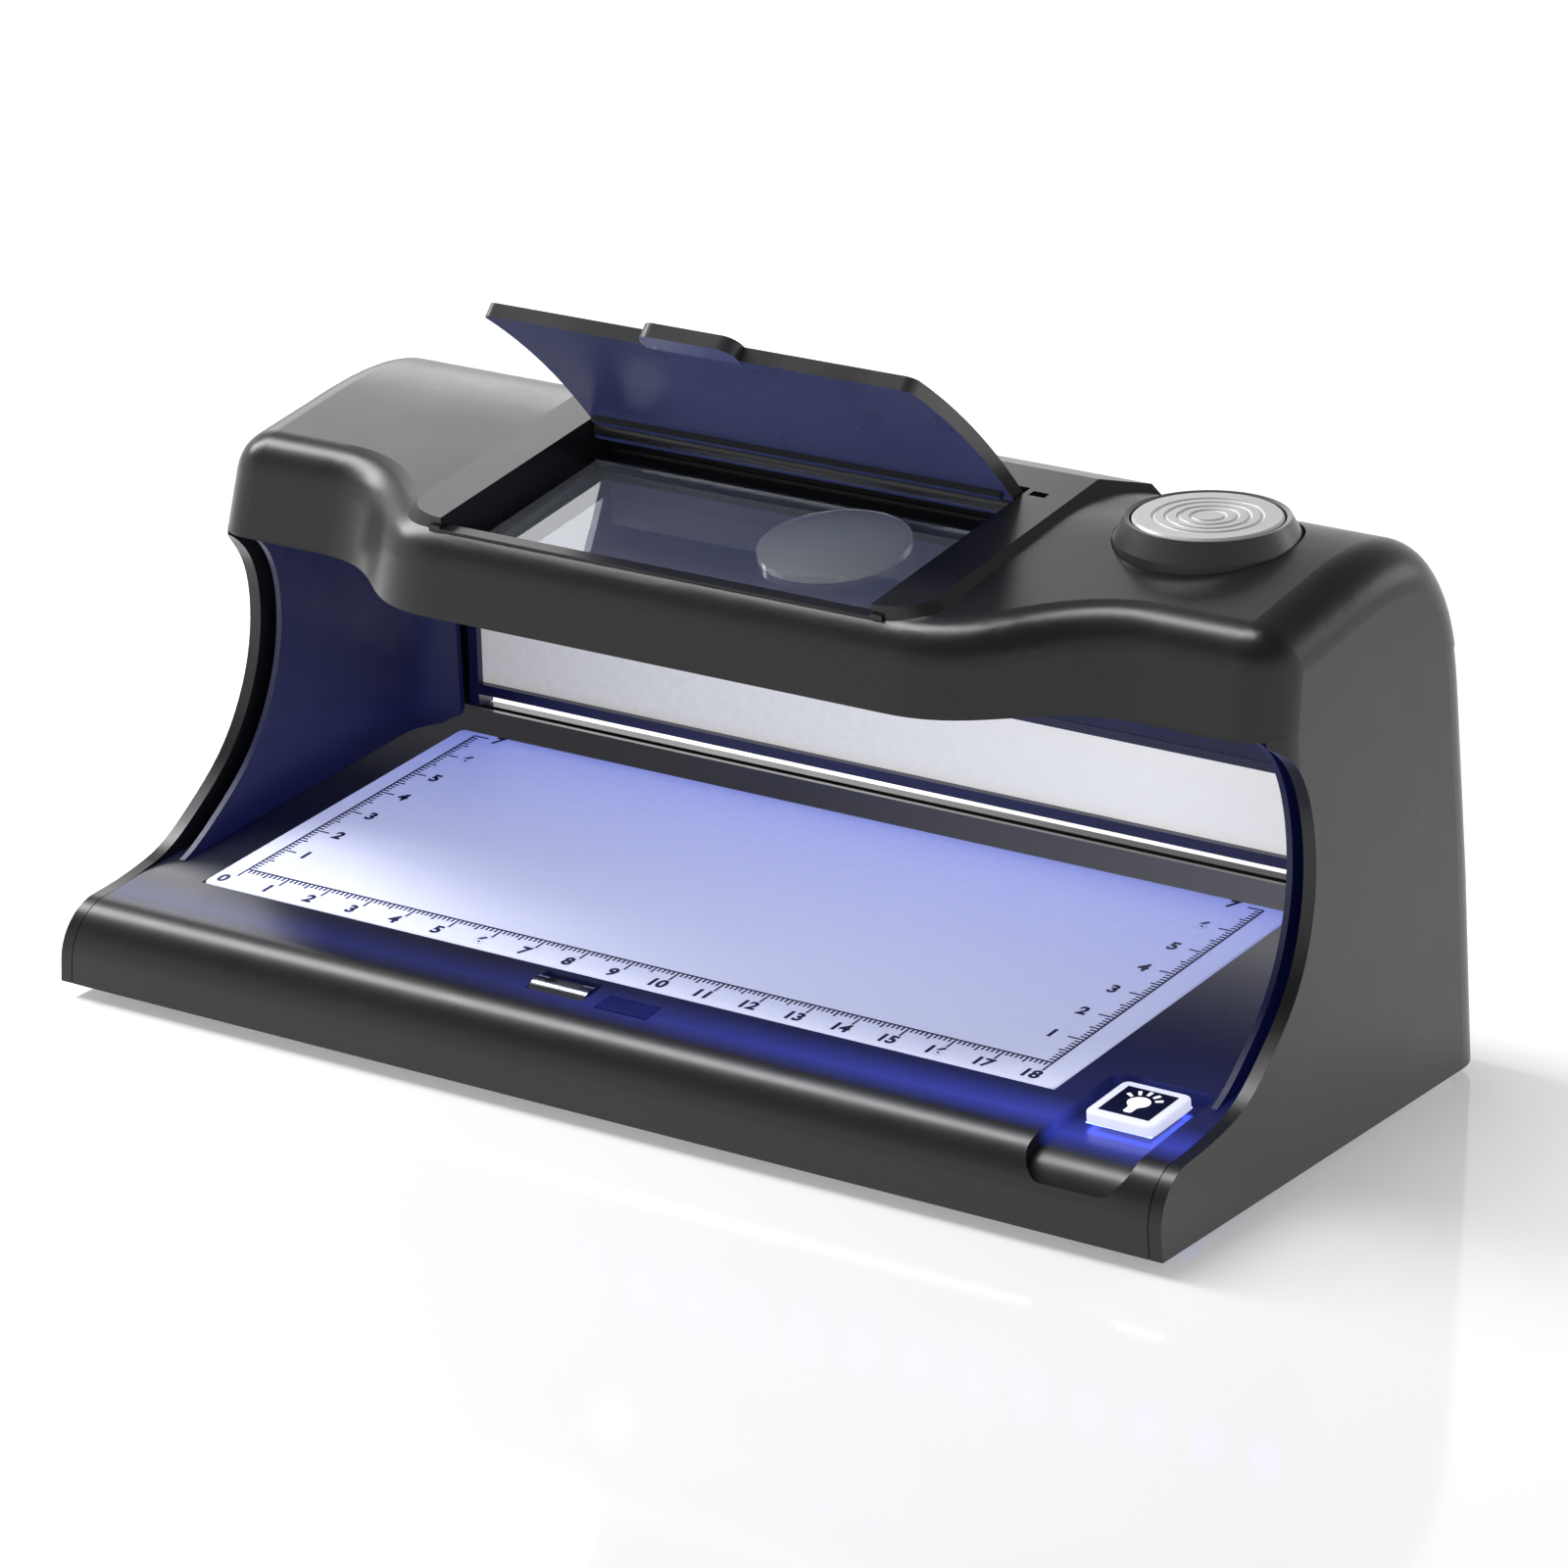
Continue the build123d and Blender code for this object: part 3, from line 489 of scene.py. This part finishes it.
sign, sign_tree, sign_surface = new_material("lamp_sign")
sign_space = object_space(sign_tree)
sign_cloud = noise(sign_tree, sign_space, 500.0, 3.0)
sign_colours = [(0.3, (0.84, 0.86, 1.0)), (0.7, (0.95, 0.96, 1.0))]
sign_tree.links.new(ramp(sign_tree, sign_cloud, sign_colours), sign_surface.inputs["Emission Color"])
sign_surface.inputs["Emission Strength"].default_value = 1.0
sign_surface.inputs["Base Color"].default_value = (0.8, 0.8, 0.85, 1)
sign_tree.links.new(spread(sign_tree, sign_cloud, 0.3, 0.4), sign_surface.inputs["Roughness"])

panel_low, panel_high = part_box("light_icon_panel")
panel_centre = (panel_low + panel_high) / 2
on_panel = Matrix.Translation(panel_centre) @ Matrix.Rotation(DECK_TILT, 4, "X")
# the sign stands on the panel's face; heights are from the panel's centre
SIGN_Z = 0.00024
SIGN_DEPTH = 0.00005


def slab(points, faces, outline, z0, z1):
    """A flat closed prism over an outline."""
    first = len(points)
    count = len(outline)
    points.extend([(x, y, z0) for x, y in outline])
    points.extend([(x, y, z1) for x, y in outline])
    faces.append([first + i for i in reversed(range(count))])
    faces.append([first + count + i for i in range(count)])
    for i in range(count):
        j = (i + 1) % count
        faces.append([first + i, first + j, first + count + j, first + count + i])


# a bulb in outline, with five rays over it
sign_points = []
sign_faces = []
globe = []
for i in range(29):
    angle = math.radians(-58 + i * (296 / 28))
    globe.append((0.00215 * math.cos(angle), 0.00015 + 0.00195 * math.sin(angle)))
neck = [(-0.00085, -0.0021), (-0.00085, -0.0036), (-0.0005, -0.0039), (0.0005, -0.0039),
        (0.00085, -0.0036), (0.00085, -0.0021)]
slab(sign_points, sign_faces, globe + neck, SIGN_Z, SIGN_Z + SIGN_DEPTH)
origin = Vector((0.0, 0.0003))
inner, outer, half = 0.0027, 0.0041, 0.00027
for i in range(5):
    angle = math.radians(30 + 30 * i)
    along = Vector((math.cos(angle), math.sin(angle)))
    across = Vector((-along.y, along.x)) * half
    corners = [origin + along * inner - across, origin + along * outer - across * 1.3,
               origin + along * outer + across * 1.3, origin + along * inner + across]
    slab(sign_points, sign_faces, [tuple(c) for c in corners], SIGN_Z, SIGN_Z + SIGN_DEPTH)
make_mesh("lamp_sign", sign_points, sign_faces, sign, on_panel, "light_button")


# ------------------------------------------- light that leaks under the button

# a thin frame of light just under the cap's edge; heights are from the icon panel's centre
glow = glowing("button_glow", (0.1, 0.1, 0.4), (0.06, 0.10, 1.0), (0.10, 0.15, 1.0), 14.0)
GLOW_LOW = -0.00212
GLOW_HIGH = -0.00194
GLOW_OUT = 0.0066
GLOW_IN = 0.0058
glow_points = []
glow_faces = []
for x0, x1, y0, y1 in ((-GLOW_OUT, GLOW_OUT, -GLOW_OUT, -GLOW_IN),
                       (-GLOW_OUT, GLOW_OUT, GLOW_IN, GLOW_OUT),
                       (-GLOW_OUT, -GLOW_IN, -GLOW_IN, GLOW_IN),
                       (GLOW_IN, GLOW_OUT, -GLOW_IN, GLOW_IN)):
    add_bar(glow_points, glow_faces, x0, x1, y0, y1, GLOW_LOW, GLOW_HIGH)
make_mesh("button_glow", glow_points, glow_faces, glow, on_panel, "light_button")


# --------------------------------------------------------------- the studio

floor_finish, floor_tree, floor_surface = new_material("floor")
floor_space = object_space(floor_tree)
floor_cloud = noise(floor_tree, floor_space, 3.0, 3.0)
tint_and_roughness(floor_tree, floor_surface, floor_cloud, (0.80, 0.80, 0.803),
                   (0.84, 0.84, 0.843), 0.07, 0.09)
floor_surface.inputs["IOR"].default_value = 1.9
floor_surface.inputs["Emission Color"].default_value = (1.0, 1.0, 1.0, 1)
floor_surface.inputs["Emission Strength"].default_value = 0.30

floor_mesh = bpy.data.meshes.new("floor")
REACH = 8
floor_mesh.from_pydata([(-REACH, -REACH, 0), (REACH, -REACH, 0), (REACH, REACH, 0), (-REACH, REACH, 0)],
                       [], [(0, 1, 2, 3)])
floor_mesh.materials.append(floor_finish)
floor = bpy.data.objects.new("floor", floor_mesh)
floor.location.z = cad_low.z - 0.0001
scene.collection.objects.link(floor)

# white round the horizon, dimmer overhead
world = bpy.data.worlds.new("studio")
world.use_nodes = True
sky_tree = world.node_tree
sky = sky_tree.nodes["Background"]
sky_height = part_of(sky_tree, sky_tree.nodes.new("ShaderNodeTexCoord").outputs["Generated"], "Z")
sky_tree.links.new(ramp(sky_tree, sky_height, [(0.0, (0.95, 0.95, 0.95)), (0.22, (1.0, 1.0, 1.0)),
                                               (0.42, (0.62, 0.62, 0.62)), (0.60, (0.16, 0.16, 0.16)),
                                               (1.0, (0.10, 0.10, 0.10))]),
                   sky.inputs["Color"])
sky.inputs["Strength"].default_value = 1.0
scene.world = world


def soft_light(name, place, aim, size_x, size_y, power):
    """A white area light at place, facing aim. Under an overhead one, size_x lies along Y."""
    data = bpy.data.lights.new(name, "AREA")
    data.shape = "RECTANGLE"
    data.size = size_x
    data.size_y = size_y
    data.energy = power
    light = bpy.data.objects.new(name, data)
    light.location = place
    light.rotation_mode = "QUATERNION"
    light.rotation_quaternion = (Vector(aim) - Vector(place)).to_track_quat("-Z", "Y")
    scene.collection.objects.link(light)


middle = (cad_low + cad_high) / 2
soft_light("back_left", (-0.60, 0.62, 0.42), middle, 0.40, 0.34, 1.1)
soft_light("overhead_left", (-0.46, 0.03, 0.74), (0, 0.03, 0), 0.20, 1.10, 9.0)
soft_light("back_right", (0.55, 0.80, 0.30), middle, 0.30, 0.30, 0.5)


# --------------------------------------------------------------- the camera

CAMERA_AZIMUTH = 35.699
CAMERA_ELEVATION = 20.1365
CAMERA_ROLL = 1.4825
CAMERA_PLACE = (0.69397, -0.95798, 0.48064)
SENSOR_WIDTH = 36.0
FOCAL_PIXELS = 7096.64
PHOTO_PIXELS = 1600.0
CAMERA_LENS = SENSOR_WIDTH * FOCAL_PIXELS / PHOTO_PIXELS

azimuth = math.radians(CAMERA_AZIMUTH)
elevation = math.radians(CAMERA_ELEVATION)
roll = math.radians(CAMERA_ROLL)
# back points from the object to the camera
back = Vector((math.sin(azimuth) * math.cos(elevation), -math.cos(azimuth) * math.cos(elevation),
               math.sin(elevation)))
right_axis = (-back).cross(Vector((0, 0, 1))).normalized()
down_axis = (-back).cross(right_axis)
right_rolled = right_axis * math.cos(roll) + down_axis * math.sin(roll)
down_rolled = down_axis * math.cos(roll) - right_axis * math.sin(roll)
turn = Matrix((right_rolled, -down_rolled, back)).transposed()
camera_data = bpy.data.cameras.new("camera")
camera_data.sensor_width = SENSOR_WIDTH
camera_data.lens = CAMERA_LENS
camera_data.clip_start = 0.05
camera_data.clip_end = 50.0
camera = bpy.data.objects.new("camera", camera_data)
camera.rotation_mode = "QUATERNION"
camera.rotation_quaternion = turn.to_quaternion()
camera.location = CAMERA_PLACE
scene.collection.objects.link(camera)
scene.camera = camera
